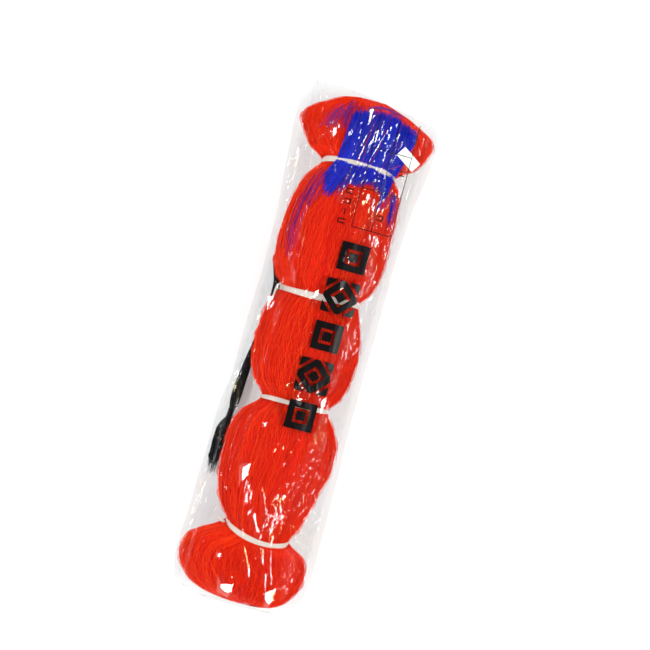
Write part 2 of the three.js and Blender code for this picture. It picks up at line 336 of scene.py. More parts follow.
class Look:
    """A material in the making, with short calls for the shader nodes that it needs."""

    def __init__(self, name):
        self.material = bpy.data.materials.new(name)
        self.material.use_nodes = True
        self.tree = self.material.node_tree
        self.shader = self.tree.nodes["Principled BSDF"]

    def node(self, kind, inputs, output=0, **settings):
        """One output of a new node, whose inputs are numbers, colours or other nodes' outputs."""
        made = self.tree.nodes.new("ShaderNode" + kind)
        for key, value in settings.items():
            setattr(made, key, value)
        self.fill(made, inputs)
        return made.outputs[output]

    def fill(self, made, inputs):
        for key, value in inputs.items():
            if isinstance(value, bpy.types.NodeSocket):
                self.tree.links.new(value, made.inputs[key])
            else:
                made.inputs[key].default_value = value

    def place(self):
        return self.node("TexCoord", {}, "Object")

    def painted(self, name):
        return self.node("Attribute", {}, "Fac", attribute_name=name)

    def noise(self, place, scale, detail, stretch=None):
        if stretch:
            place = self.node("Mapping", {"Vector": place, "Scale": stretch})
        return self.node("TexNoise", {"Vector": place, "Scale": scale, "Detail": detail}, "Fac")

    def math(self, kind, *values):
        return self.node("Math", dict(enumerate(values)), operation=kind)

    def mean(self, one, other):
        return self.math("MULTIPLY", self.math("ADD", one, other), 0.5)

    def remap(self, value, low, high, start=0.0, stop=1.0):
        return self.node("MapRange", {"Value": value, "From Min": start, "From Max": stop, "To Min": low,
                                      "To Max": high})

    def bump(self, height, strength, distance):
        return self.node("Bump", {"Height": height, "Strength": strength, "Distance": distance})

    def ramp(self, factor, stops):
        colour = self.node("ValToRGB", {"Fac": factor}, "Color")
        points = colour.node.color_ramp.elements
        while len(points) < len(stops):
            points.new(0.5)
        for point, (position, shade) in zip(points, stops):
            point.position, point.color = position, shade
        return colour

    def band(self, value, low, high):
        """1 between two values and 0 outside them."""
        over = self.math("GREATER_THAN", value, low)
        return self.math("MULTIPLY", over, self.math("LESS_THAN", value, high))


def yarn_material(name, dark, middle, light, roughness, stretch=(900, 35, 900)):
    """Drawn plastic yarn: each yarn has its own tone, with fine fibre and paler worn streaks along it."""
    look = Look(name)
    tone = look.painted("tone")
    fibre = look.noise(look.place(), 1.0, 3.0, stretch)
    look.fill(look.shader, {
        "Base Color": look.ramp(look.mean(tone, fibre), [(0.25, dark), (0.5, middle), (0.78, light)]),
        "Roughness": look.remap(fibre, roughness - 0.12, roughness + 0.12),
        "Normal": look.bump(fibre, 0.35, 0.2 * MM),
        "Specular IOR Level": 0.15, "Sheen Weight": 0.04, "Sheen Roughness": 0.4})
    return look.material


def cream_tape_material():
    """Flat drawn tape: cream white, with fine lines along its length."""
    look = Look("cream_tape")
    place = look.node("CombineXYZ", {"X": look.painted("across"), "Y": look.painted("along")})
    grain = look.noise(place, 1.6, 4.0, (9, 0.12, 1))
    look.fill(look.shader, {
        "Base Color": look.ramp(grain, [(0.3, srgb(166, 152, 138)), (0.5, srgb(194, 180, 170)),
                                        (0.7, srgb(216, 204, 198))]),
        "Roughness": look.remap(grain, 0.32, 0.55),
        "Normal": look.bump(grain, 0.5, 0.25 * MM)})
    return look.material


def paper_material():
    """Thin white paper with a faint fibre, a little yellowed in places."""
    look = Look("white_paper")
    place = look.place()
    cloud = look.noise(place, 90.0, 2.0)
    fibre = look.noise(place, 1400.0, 4.0)
    look.fill(look.shader, {
        "Base Color": look.ramp(look.mean(cloud, fibre), [(0.3, srgb(232, 230, 222)),
                                                          (0.55, srgb(250, 250, 247)),
                                                          (0.8, srgb(255, 255, 255))]),
        "Roughness": 0.72,
        "Normal": look.bump(fibre, 0.25, 0.08 * MM)})
    return look.material


ORANGE = yarn_material("orange_yarn", srgb(184, 12, 0), srgb(228, 30, 0), srgb(244, 66, 8), 0.62)
BLUE = yarn_material("blue_yarn", srgb(8, 12, 122), srgb(22, 32, 176), srgb(48, 66, 208), 0.5)
VIOLET = yarn_material("violet_yarn", srgb(92, 20, 104), srgb(128, 34, 122), srgb(150, 52, 150), 0.5)
CHARCOAL = yarn_material("charcoal_cord", srgb(8, 8, 9), srgb(22, 22, 25), srgb(58, 58, 63), 0.5,
                         (1500, 500, 1500))
TAPE = cream_tape_material()
PAPER = paper_material()

# ---------------------------------------------------------------- the dark cord, put away as a hank

CORD_WIDTH = 1.8 * MM
CORD_RUNS = 26
CORD_STEP = 1.25 * MM
CORD_SIDES = 8
CORD_TWIST = 5.5 * MM
HANK_TWIST = 150 * MM
RUN_STEP = 4 * MM
RUNS_LOW = HANK[0, 0] + 10 * MM
RUNS_HIGH = HANK[-1, 0] - 11 * MM
FOLD_RADIUS = 6.4 * MM
FOLD_STEPS = 12
LOWEST = 2.3 * MM
HIGHEST = 12.6 * MM
PINCH = -99 * MM
WRAP_TURNS = 5
WRAP_STEPS = 16
WRAP_RISE = CORD_WIDTH * 1.05
WRAP_START = PINCH - WRAP_TURNS / 2 * WRAP_RISE
FRAYED = 46


def hank_point(ring, turn, place):
    """Where a run lies in the hank: how far out of the middle, and on which side of it."""
    x, reach, half, height = outline(HANK, place)
    angle = turn + ROUND * place / HANK_TWIST
    tight = 1 - 0.45 * bell(place, PINCH, 9 * MM)
    room_x = max(reach - CORD_WIDTH * 0.75, 0.8 * MM)
    room_z = max(half - CORD_WIDTH * 0.6, 0.8 * MM)
    return np.array((x + ring * tight * room_x * math.cos(angle), place,
                     height + ring * tight * room_z * math.sin(angle)))


def fold(start, stop, way):
    """A round fold from the end of one run to the start of the next: it leaves along the hank and bulges."""
    middle = (start + stop) / 2
    half = (stop - start) / 2
    half[1] = 0
    out = np.linalg.norm(half)
    sideways = np.array((math.copysign(1, half[0]), 0, math.copysign(0.4, half[2]))) / math.hypot(1, 0.4)
    bulge = 2.6 * max(FOLD_RADIUS - out, 0) * sideways
    x = outline(HANK, middle[1])[0]
    room = FOLD_RADIUS * abs(sideways[2])
    height = min(max(middle[2], CORD_WIDTH + room), HIGHEST - room)
    shift = np.array((0.5 * (x - middle[0]), 0, height - middle[2]))
    points = []
    for k in range(1, FOLD_STEPS):
        share = k / FOLD_STEPS
        level, swell = math.cos(share * math.pi), math.sin(share * math.pi)
        point = middle - level * (half + bulge * swell**2) + shift * swell**2
        point[1] = start[1] + (stop[1] - start[1]) * share + way * max(out, FOLD_RADIUS) * 2.1 * swell
        point[2] = max(point[2], LOWEST)
        points.append(point)
    return points


def run_order(draw):
    """Where each run lies in the hank's section, as ring and turn, taken from its two sides by turns."""
    rings = ((0.0, 1), (0.36, 6), (0.72, 9), (1.0, 12))
    spots = [(ring, k * ROUND / count + ring * 2) for ring, count in rings for k in range(count)]
    spots = spots[:CORD_RUNS]
    right = [spot for spot in spots if math.cos(spot[1]) * spot[0] > 0.01]
    left = [spot for spot in spots if spot not in right]
    order = []
    while right or left:
        for side in (right, left):
            if side:
                order.append(side.pop(int(draw.integers(len(side)))))
    return order


def hank_path():
    """One line up and down the hank, fold after fold, and last a few turns round its pinched place."""
    draw = np.random.default_rng(31)
    path = []
    for run, (ring, turn) in enumerate(run_order(draw)):
        way = 1 if run % 2 == 0 else -1
        short = draw.uniform(0, 8 * MM, 2)
        start, stop = (RUNS_LOW + short[0], RUNS_HIGH - short[1])[::way]
        count = int(abs(stop - start) / RUN_STEP)
        points = [hank_point(ring, turn, place) for place in np.linspace(start, stop, count)]
        if path:
            path.extend(fold(path[-1], points[0], -way))
        path.extend(points)
    turn_in = WRAP_START - 16 * MM
    under = -math.pi / 2
    back = [hank_point(1.0, under - ROUND * place / HANK_TWIST, place)
            for place in np.arange(RUNS_LOW + 5 * MM, turn_in, RUN_STEP)]
    path.extend(fold(path[-1], back[0], -1))
    path.extend(back)
    shares = [2 * k / WRAP_STEPS for k in range(1, WRAP_STEPS // 2)]
    wraps = [(under * (1 - share**2), turn_in + (WRAP_START - turn_in) * share * (2 - share))
             for share in shares]
    wraps += [(k * ROUND / WRAP_STEPS, WRAP_START + k / WRAP_STEPS * WRAP_RISE)
              for k in range(WRAP_STEPS * WRAP_TURNS)]
    x, reach, half, height = outline(HANK, PINCH)
    path.extend((x + reach * math.cos(turn), place, height + half * math.sin(turn)) for turn, place in wraps)
    return np.array(path)


def even_path(points, step):
    """A smooth line through the points, with its own points a step apart."""
    length = lengths_along(points)
    keep = np.concatenate([[True], np.diff(length) > 0.001 * MM])
    rows = np.column_stack([length[keep], points[keep]])
    fine = smooth_at(rows, np.linspace(0, length[-1], int(length[-1] / step) + 1))
    return smoothed(fine, 14)


def twisted_cord(path):
    """A closed two-ply cord along a path, with a frame carried along it so that nothing turns over."""
    along = np.gradient(path, axis=0)
    along /= np.linalg.norm(along, axis=1, keepdims=True)
    side = np.array([1.0, 0, 0])
    points = []
    for point, ahead, gone in zip(path, along, lengths_along(path)):
        side = side - ahead * side.dot(ahead)
        side /= np.linalg.norm(side)
        up = np.cross(ahead, side)
        ring = np.arange(CORD_SIDES)[:, None] * ROUND / CORD_SIDES
        plies = 0.68 + 0.32 * np.abs(np.cos(ring))
        ring = ring + ROUND * gone / CORD_TWIST
        points.extend(point + CORD_WIDTH / 2 * plies * (np.cos(ring) * side + np.sin(ring) * up))
    return np.array(points), tube_faces(len(path), CORD_SIDES)


def frayed_threads():
    """Loose threads that spread from the hank's lower end down to the floor."""
    draw = np.random.default_rng(44)
    x, reach, half, height = outline(HANK, HANK[0, 0] + 8 * MM)
    t = np.linspace(0, 1, 8)
    threads = []
    for _ in range(FRAYED):
        spread = draw.uniform(-1, 1, 2)
        start = np.array((x + spread[0] * reach * 0.6, HANK[0, 0] + 9 * MM, height + spread[1] * half * 0.5))
        long = draw.uniform(9, 24) * MM
        line = start + np.array((draw.uniform(-4, 5) * MM, -long, 0)) * t[:, None]
        line[:, 0] += np.sin(t * draw.uniform(2, 5) + draw.uniform(0, 6)) * draw.uniform(0, 1.6) * MM
        line[:, 2] = line[:, 2] * (1 - t) + t * draw.uniform(1.6, 5) * MM
        threads.append(line)
    return threads


def make_hank():
    path = even_path(hank_path(), CORD_STEP)
    tones = 0.35 + 0.3 * np.random.default_rng(5).random(len(path))
    cord = add_piece("dark_cord", twisted_cord(path), CHARCOAL, "cord", "dark_cord",
                     replaces=("cord_hank", "cord_hank_wrap"), tone=np.repeat(tones, CORD_SIDES))
    threads = tubes(frayed_threads(), 0.28 * MM, 4)
    frayed = add_piece("dark_cord_frayed_threads", threads, CHARCOAL, "cord", "dark_cord",
                       tone=np.full(len(threads[0]), 0.45))


make_hank()

# ---------------------------------------------------------------- netting

RIDGES = Ripples(1, 9, (16, 64), (3, 34))
FOLDS = Ripples(2, 7, (4, 13), (3, 15))
RIPPLE_LIMIT = 1.6
STRAND_RADIUS = 0.3 * MM
STRAND_STEP = 4.4 * MM
KNOT_GAP = 13 * MM
KNOT_RADIUS = 0.52 * MM
KNOTS = 2300
FUZZ = 160
FUZZ_RADIUS = 0.22 * MM
CORE_SIDES = 120
CORE_STEP = 2.6 * MM
CORE_DEPTH = 1.4 * MM
PUFF = 1.1 * MM
TIP_ROUNDING = 0.06


def calm(places):
    """How far the netting may ripple here: hardly under a tie, fully between the ties."""
    near = sum(bell(places, waist[0], 11 * MM) for waist in WAISTS)
    return 1 - 0.85 * np.minimum(near, 1)


def lie(turns, places):
    """How deep the netting lies under the bundle's outline, in folds and in fine ridges."""
    ridges, folds = [0.5 + 0.5 * np.clip(waves(turns, places) / RIPPLE_LIMIT, -1, 1)
                     for waves in (RIDGES, FOLDS)]
    return calm(places) * (0.8 * ridges + 0.7 * folds) * MM


def strand_paths(start, stop, turns, depths, swings, draw, looped):
    """Lines of strands from one tie to the next, or out over the bundle's end and back beneath it."""
    count = len(turns)
    steps = int(abs(stop - start) * (2 if looped else 1) / STRAND_STEP)
    if looped:
        t = np.linspace(-1, 1, steps)
        pull = draw.uniform(0, 2.6 * MM, count)[:, None] * np.sign(stop - start)
        gone = 1 - (np.hypot(t, TIP_ROUNDING) - TIP_ROUNDING) / (math.hypot(1, TIP_ROUNDING) - TIP_ROUNDING)
        places = start + (stop - pull - start) * gone
    else:
        places = np.tile(start + (stop - start) * np.linspace(0, 1, steps), (count, 1))
    phase = draw.uniform(0, 1, count)[:, None]
    zigzag = triangle(places / (2 * KNOT_GAP) + phase) * draw.uniform(0.2, 1.0, count)[:, None] * 0.045
    bend = np.sin(places * draw.uniform(12, 45, count)[:, None] + phase * 20) * swings[:, None]
    turns = turns[:, None] + (zigzag + bend) * calm(places)
    spots = on_bundle(places, turns, lie(turns, places) + depths[:, None] - PUFF * calm(places))
    if looped:
        height = outline(BUNDLE, places)[3]
        spots[..., 2] = height + (spots[..., 2] - height) * np.tanh(t / 0.05)
    return spots


def core_mesh(start, stop):
    """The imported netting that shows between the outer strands: a closed body a little way inside."""
    rows = np.linspace(start, stop, int(abs(stop - start) / CORE_STEP) + 2)
    turns, places = np.meshgrid(np.arange(CORE_SIDES) * ROUND / CORE_SIDES, rows)
    points = on_bundle(places, turns, lie(turns, places) + CORE_DEPTH - PUFF * calm(places))
    return points.reshape(-1, 3), tube_faces(len(rows), CORE_SIDES)


def knot_mesh(spots):
    """Small knots, each a tight blob of eight faces."""
    corners = np.array([(1, 0, 0), (-1, 0, 0), (0, 1.3, 0), (0, -1.3, 0), (0, 0, 1), (0, 0, -1)])
    sides = [(0, 2, 4), (2, 1, 4), (1, 3, 4), (3, 0, 4), (2, 0, 5), (1, 2, 5), (3, 1, 5), (0, 3, 5)]
    points = (spots[:, None, :] + corners * KNOT_RADIUS).reshape(-1, 3)
    return points, [(a + 6 * k, b + 6 * k, c + 6 * k) for k in range(len(spots)) for a, b, c in sides]


def fuzz_paths(start, stop, draw):
    """Short loops of yarn that stand out a little along both sides of a bunch."""
    low, high = min(start, stop), max(start, stop)
    middle = draw.uniform(low + 7 * MM, high - 7 * MM, FUZZ)[:, None]
    half = draw.uniform(3, 8, FUZZ)[:, None] * MM
    t = np.linspace(-1, 1, 7)
    places = np.clip(middle + half * t, low + 0.5 * MM, high - 0.5 * MM)
    side = np.where(draw.random(FUZZ) < 0.5, 0, np.pi)[:, None]
    turns = side + draw.normal(0, 0.3, FUZZ)[:, None] + draw.normal(0, 0.05, FUZZ)[:, None] * t
    out = draw.uniform(0.8, 2.6, FUZZ)[:, None] * MM * (1 - t**2)
    return on_bundle(places, turns, 0.3 * MM - PUFF - out)


def yarns(paths, radius, tones):
    """Yarns as three-sided tubes, each with its own tone: points, faces and a tone for each point."""
    points, faces = tubes(paths, radius, 3)
    return points, faces, np.repeat(np.broadcast_to(tones, len(paths)), len(points) // len(paths))


def make_netting(number):
    """One bunch of the closed-up netting with the waist beyond it."""
    draw = np.random.default_rng(100 + number)
    start, stop = [row[0] for row in (BUNDLE[0], *WAISTS, BUNDLE[-1])][number:number + 2]
    if number == 0:
        start, stop = stop, start
    looped = number in (0, BUNCH_COUNT - 1)
    count, groups, loose, whole = (440, 62, 60, math.pi) if looped else (640, 105, 90, ROUND)
    group = draw.integers(0, groups, count)
    group_turn = (np.arange(groups) + draw.uniform(-0.3, 0.3, groups)) * whole / groups
    turns = group_turn[group] + draw.normal(0, 0.45 * whole / groups, count)
    if looped:
        turns = np.clip(turns, 0.01, math.pi - 0.01)
    depths = (draw.uniform(0, 0.6, groups)[group] + draw.uniform(0, 0.9, count)) * MM
    swings = draw.normal(0, 0.020, groups)[group] + draw.normal(0, 0.016, count)
    tones = draw.uniform(0.42, 0.58, groups)[group] + draw.uniform(-0.24, 0.26, count)
    spots = strand_paths(start, stop, turns, depths, swings, draw, looped)
    parts = [yarns(spots, STRAND_RADIUS, tones)]
    turns = draw.uniform(0, whole, loose)
    swings = draw.normal(0, 0.09, loose)
    paths = strand_paths(start, stop, turns, np.full(loose, 0.1 * MM), swings, draw, looped)
    parts.append(yarns(paths, STRAND_RADIUS, draw.uniform(0.5, 1.0, loose)))
    parts.append(yarns(fuzz_paths(start, stop, draw), FUZZ_RADIUS, 0.75))
    knots = draw.integers(0, count, KNOTS), draw.integers(2, spots.shape[1] - 2, KNOTS)
    parts.append((*knot_mesh(spots[knots]), np.repeat(draw.uniform(0.3, 1.0, KNOTS), 6)))
    points, faces = core_mesh(start, stop)
    # The inner body gets a low tone, a darker orange: painted shade in the gaps between the outer strands.
    parts.append((points, faces, np.full(len(points), 0.2)))
    nodes = [f"net_bunch_{number + 1}"]
    if number < BUNCH_COUNT - 1:
        nodes.append(f"net_waist_{number + 1}")
    mesh_parts, (tones,) = join(parts)
    add_piece(f"netting_bunch_{number + 1}", mesh_parts, ORANGE, "net", "netting",
              replaces=nodes, tone=tones)


for number in range(BUNCH_COUNT):
    make_netting(number)

# ---------------------------------------------------------------- marker yarns

TIE_PLACE = WAISTS[3][0]
YARN_RADIUS = 0.33 * MM
STRAY_RADIUS = YARN_RADIUS * 0.75

# Stray yarns: how many, the line they follow as x and place, their spread and their lift, in millimetres
BLUE_STRAYS = [
    (22, [(49, 206), (52, 186), (52, 164)], 1.3, (0.1, 1.3)),
    (12, [(40, 204), (38, 190), (36, 176)], 2.8, (-0.4, 0.5)),
]
VIOLET_STRAYS = [
    (15, [(-40, 208), (-52, 165), (-55, 128), (-50, 98)], 3.6, (-0.7, 0.1)),
    (16, [(-30, 214), (-43, 190), (-49, 160)], 3.8, (-0.7, 0.1)),
    (20, [(-46, 258), (-40, 276), (-31, 296)], 4.6, (-0.6, 0.2)),
    (22, [(-24, 262), (-26, 280), (-22, 304)], 4.6, (-0.5, 0.3)),
    (24, [(-8, 296), (14, 303), (34, 296)], 5.0, (-0.5, 0.3)),
]


def on_top(x, places, lift):
    """Points on the bundle's upper side at these distances across it, lifted off it a little."""
    middle, reach, _, _ = outline(BUNDLE, places)
    turns = np.arccos(np.clip((x - middle) / reach, -0.995, 0.995))
    return on_bundle(places, turns, 0.5 * lie(turns, places) - lift - PUFF * calm(places))


def marker_fan(draw, count, groups):
    """Yarns from under the bundle's mouth end, gathered under the tie, with ragged ends beyond it."""
    share = np.sort(draw.uniform(0, 1, groups))
    group = draw.integers(0, groups, count)
    share = np.clip(share[group] + draw.normal(0, 0.02, count), 0, 1)
    far_x = (-19 + 80 * share + draw.normal(0, 1.6, count)) * MM
    tie_x = (-25 + 71 * share) * MM
    near_x = (-37 + 77 * share + draw.normal(0, 2.0, count)) * MM
    far_y = (np.interp(share, [0, 0.25, 0.5, 1], [287, 296, 297, 282]) + draw.normal(0, 2.4, count)) * MM
    rag = np.interp(share, [0, 0.12, 0.26, 0.40, 0.52, 0.70, 0.86, 1],
                    [203, 190, 181, 203, 199, 206, 204, 196])
    near_y = (rag + draw.normal(0, 1, groups)[group] * 3.5 + np.abs(draw.normal(0, 2.6, count))) * MM
    far_x, tie_x, near_x, far_y, near_y = [some[:, None] for some in (far_x, tie_x, near_x, far_y, near_y)]
    places = near_y + (far_y - near_y) * np.linspace(0, 1, 34)
    beyond = np.maximum((places - TIE_PLACE) / (70 * MM), 0)
    short = np.maximum((TIE_PLACE - places) / (26 * MM), 0)
    x = tie_x + (far_x - tie_x) * beyond**0.8 + (near_x - tie_x) * short
    x = x + np.sin(places * 70 + draw.uniform(0, 6, count)[:, None]) * 0.5 * MM
    lift = draw.uniform(0.2, 1.7, count)[:, None] * MM * (1 - 0.72 * bell(places, TIE_PLACE, 9 * MM))
    dive = 2.6 * MM * np.exp((places - far_y) / (4 * MM)) + 0.8 * MM * np.exp((near_y - places) / (3 * MM))
    return on_top(x, places, lift - dive), 0.3 + 0.35 * draw.random(groups)[group]


def marker_strays(draw, rows, palest):
    """Loose yarns along the lines of these rows, spread to either side."""
    parts = []
    for count, corners, spread, lift in rows:
        corners = np.array(corners, float) * MM
        level = np.linspace(0, 1, len(corners))
        start = draw.uniform(0, 0.25, count)[:, None]
        stop = draw.uniform(0.75, 1, count)[:, None]
        at = start + (stop - start) * np.linspace(0, 1, 26)
        x = np.interp(at, level, corners[:, 0]) + draw.normal(0, spread * MM, count)[:, None]
        swing = np.sin(at * draw.uniform(3, 8, count)[:, None] + draw.uniform(0, 6, count)[:, None])
        x = x + swing * 1.2 * MM
        places = np.interp(at, level, corners[:, 1])
        paths = on_top(x, places, draw.uniform(*lift, count)[:, None] * MM)
        parts.append(yarns(paths, STRAY_RADIUS, draw.uniform(0.2, palest, count)))
    return parts


def add_yarns(name, parts, material, replaces=()):
    mesh_parts, (tones,) = join(parts)
    add_piece(name, mesh_parts, material, "net", "marker_yarn", replaces=replaces, tone=tones)


def make_marker_yarns():
    draw = np.random.default_rng(61)
    paths, tones = marker_fan(draw, 560, 60)
    fan = yarns(paths, YARN_RADIUS, tones)
    add_yarns("marker_yarns", [fan, *marker_strays(draw, BLUE_STRAYS, 0.6)], BLUE,
              ("marker_yarn_end", "marker_yarn_tails"))
    add_yarns("marker_yarn_strays", marker_strays(draw, VIOLET_STRAYS, 0.8), VIOLET)


make_marker_yarns()

# ---------------------------------------------------------------- tape ties, their knots and the tag

TAPE_WIDTHS = [6.0 * MM, 5.2 * MM, 7.4 * MM, 6.6 * MM]
TAPE_THICK = 0.35 * MM
TAPE_LIFT = 0.9 * MM
TAPE_COLUMNS = 7
KNOT_PLACES = [-20 * MM, 14 * MM, -16 * MM, 10 * MM]


def stacked(x, y, z):
    """One array of points or directions from their three coordinates."""
    return np.stack(np.broadcast_arrays(x, y, z), -1)


def ribbon(path, width, normals, closed=False):
    """A thin flat strip along a path: points and faces, and how far across and along it each point is."""
    along = unit(np.roll(path, -1, 0) - np.roll(path, 1, 0) if closed else np.gradient(path, axis=0))
    side = unit(np.cross(along, normals))
    up = np.cross(side, along)
    width = np.broadcast_to(width, len(path))[:, None]
    v = np.linspace(-1, 1, TAPE_COLUMNS)
    wave = 0.22 * MM * np.sin(v * 5)
    half = TAPE_THICK / 2 * (1 - 0.7 * v**4)
    across = np.concatenate([v, v[::-1]]) * width / 2
    lift = np.concatenate([wave + half, (wave - half)[::-1]])
    points = path[:, None] + side[:, None] * across[..., None] + up[:, None] * lift[:, None]
    rows, ring = across.shape
    faces = tube_faces(rows, ring)
    if closed:
        last = (rows - 1) * ring
        faces = faces[:-2] + [(last + c, last + (c + 1) % ring, (c + 1) % ring, c) for c in range(ring)]
    return points.reshape(-1, 3), faces, across.ravel() / MM, np.repeat(lengths_along(path) / MM, ring)


def tape_piece(name, strips, replaces=()):
    mesh_parts, (across, along) = join(strips)
    add_piece(name, mesh_parts, TAPE, "net", "tape", replaces=replaces, across=across, along=along)


def make_tie(number):
    """One tape round a waist, over the yarns, bowed the way the bunches push it."""
    place, left, right, half, height = WAISTS[number]
    reach = (right - left) / 2
    draw = np.random.default_rng(80 + number)
    turns = np.linspace(0, ROUND, 120, endpoint=False)
    lift = TAPE_LIFT + 0.25 * MM * np.sin(7 * turns + draw.uniform(0, 6))
    x = (left + right) / 2 + (reach + lift) * np.cos(turns)
    y = bowed(np.full_like(turns, place), turns) + 0.5 * MM * np.sin(3 * turns + draw.uniform(0, 6))
    z = height + (half + lift) * np.sin(turns)
    width = TAPE_WIDTHS[number] * (1 + 0.10 * np.sin(4 * turns + draw.uniform(0, 6)))
    normals = stacked(np.cos(turns) * half, 0, np.sin(turns) * reach)
    tape_piece(f"tape_tie_{number + 1}_band", [ribbon(stacked(x, y, z), width, normals, closed=True)],
               replaces=(f"tape_tie_{number + 1}",))


def make_knot(number):
    """The flat knot under a waist: two folded turns of tape and two short tails."""
    waist = WAISTS[number]
    middle = KNOT_PLACES[number]
    place = bowed(waist[:1], -math.pi / 2)[0]
    low = waist[4] - waist[3] - 2.4 * MM
    draw = np.random.default_rng(90 + number)
    strips = []
    t = np.linspace(0, 1, 22)
    for way in (-1, 1):
        x = middle + way * (1.5 + 17 * t) * MM
        y = place + way * 2.5 * MM * t + np.sin(t * 5) * draw.uniform(0.4, 1.2) * MM
        z = low - 0.4 * MM + way * 0.35 * MM + np.sin(t * 3) * 0.6 * MM
        strips.append(ribbon(stacked(x, y, z), 4.6 * MM, stacked(0, 0.5 * np.sin(t * 4 + way), 1)))
    turn = np.linspace(0, ROUND, 40, endpoint=False)
    for shift, size, lean in ((-1.2, 1.0, 0.35), (1.4, 0.85, -0.4)):
        y = place + 4.1 * MM * size * np.cos(turn)
        z = low + 0.3 * MM + 1.5 * MM * size * np.sin(turn)
        x = middle + shift * MM + lean * (y - place)
        normals = stacked(0, np.cos(turn), 2.6 * np.sin(turn))
        strips.append(ribbon(stacked(x, y, z), 3.4 * MM, normals, closed=True))
    tape_piece(f"tape_knot_{number + 1}_folds", strips, replaces=(f"tape_knot_{number + 1}",))


def make_side_tails():
    """Two tape ends that stand out from the left side of the bundle."""
    t = np.linspace(0, 1, 24)
    place, left, _, _, height = WAISTS[2]
    path = stacked(-1.6 - 9 * t + 4 * t**2, 2 + 6 * t - 26 * t**2, 9 + 6 * np.sin(t * 3)) * MM
    normals = stacked(-0.5, 0.2 * np.sin(5 * t), 1)
    long_tail = ribbon((left, place, height) + path, 4.4 * MM * (1 - 0.5 * t), normals)
    place, left, _, _, height = WAISTS[0]
    path = stacked(-1.2 - 8 * t, 3 + 5 * t, 6 + 2 * np.sin(t * 3)) * MM
    short_tail = ribbon((left, place, height) + path, 3.6 * MM, stacked(-0.4, 0.4 * np.sin(4 * t), 1))
    tape_piece("tape_side_tails", [long_tail, short_tail])


for number in range(BUNCH_COUNT - 1):
    make_tie(number)
    make_knot(number)
make_side_tails()

TAG_MIDDLE = (57 * MM, 249 * MM)
TAG_SIZE = (27 * MM, 14 * MM)
TAG_TURN = math.radians(-33)
TAG_SECTION = 252 * MM
TAG_LIFT = 3.1 * MM
TAG_THICK = 0.2 * MM


def make_tag():
    """The paper tag, bent over the yarns one way, with one soft crease and a curled corner."""
    u, v = np.meshgrid(np.linspace(-0.5, 0.5, 36), np.linspace(-0.5, 0.5, 18))
    wide, tall = TAG_SIZE
    x = TAG_MIDDLE[0] + u * wide * math.cos(TAG_TURN) - v * tall * math.sin(TAG_TURN)
    y = TAG_MIDDLE[1] + u * wide * math.sin(TAG_TURN) + v * tall * math.cos(TAG_TURN)
    middle, reach, half, height = outline(BUNDLE, TAG_SECTION)
    z = height + half * np.sqrt(np.clip(1 - ((x - middle) / reach) ** 2, 0.02, 1)) + TAG_LIFT
    z = z + 0.9 * MM * (1 - np.minimum(np.abs(u + 0.02) / 0.12, 1))
    z = z + 1.2 * MM * np.clip(-u - v - 0.6, 0, 1) / 0.4
    top = np.stack([x, y, z], -1).reshape(-1, 3)
    low = top - (0, 0, TAG_THICK)
    rows, columns = u.shape
    count = rows * columns
    faces = grid_faces(rows, columns)
    under = [tuple(i + count for i in face[::-1]) for face in faces]
    rim = [*range(columns), *range(2 * columns - 1, count, columns),
           *range(count - 2, count - columns - 1, -1), *range(count - 2 * columns, 0, -columns)]
    walls = [(a + count, b + count, b, a) for a, b in zip(rim, rim[1:] + rim[:1])]
    add_piece("paper_tag_sheet", (np.concatenate([top, low]), faces + under + walls), PAPER, "net", "paper",
              replaces=("paper_tag",))


make_tag()

# ---------------------------------------------------------------- film

# Side creases of the bag, as (place along it, distance from the middle), in millimetres
CREASE_LEFT = np.array([(-321, -50), (-316, -66), (-306, -80), (-292, -87.5), (-275, -89.5), (-228, -88.5),
                        (-141, -87), (-90, -84), (-34, -78), (81, -78), (151, -79.5), (230, -83),
                        (295, -86.5), (321, -89)], float) * MM
CREASE_RIGHT = np.array([(-321, 40), (-316, 54), (-306, 65), (-292, 71), (-276, 74), (-200, 75),
                         (-100, 73), (0, 72.5), (80, 73), (134, 74), (200, 78), (245, 85), (292, 89),
                         (321, 89)], float) * MM
CREASE_HEIGHT = 7 * MM
SEAM_HEIGHT = 20 * MM
SEAM = -317.5 * MM
BAG_END = 321 * MM
MOUTH_LEFT = 327 * MM
MOUTH_RIGHT = 297 * MM
MOUTH_START = 235 * MM
FILM_ROWS = 370
FILM_COLUMNS = 250
FILM_GAP = 2.2 * MM
FILM_SAG = 0.05
FILM_LOWEST = 0.2 * MM
NET_CLEAR = 1.5 * MM
HANK_CLEAR = 1.4 * MM
MARKER_START = 165 * MM
TAG_PEAKS = ((70 * MM, 52.5 * MM), (46 * MM, 62 * MM))


def hull(points):
    """The outline that a band stretched round the points would take: its lower and its upper line."""
    points = points[np.lexsort((points[:, 1], points[:, 0]))]

    def chain(some):
        kept = []
        for p in some:
            while len(kept) > 1 and ((kept[-1][0] - kept[-2][0]) * (p[1] - kept[-2][1])
                                     - (kept[-1][1] - kept[-2][1]) * (p[0] - kept[-2][0])) <= 0:
                kept.pop()
            kept.append(p)
        return np.array(kept)
    return chain(points), chain(points[::-1])[::-1]


def evenly(line, count):
    """The line with its points the same distance apart."""
    length = lengths_along(line)
    at = np.linspace(0, length[-1], count)
    return np.stack([np.interp(at, length, line[:, 0]), np.interp(at, length, line[:, 1])], -1)


def reaches(rows, places, gap):
    """How far the contents and a gap reach at these places: to the left, right, top and bottom."""
    left, right, half, height = np.moveaxis(smooth_at(rows, places), -1, 0)
    return np.stack([-left, right, height + half, half - height], -1) + gap


def held_off(places, rows, gap):
    """The contents' outline that the film spans: it dips between bunches only at a gentle slope."""
    fine = np.linspace(rows[0, 0], rows[-1, 0], 420)
    drop = FILM_SAG * np.abs(places[:, None] - fine)
    return (reaches(rows, fine, gap) - drop[..., None]).max(1)


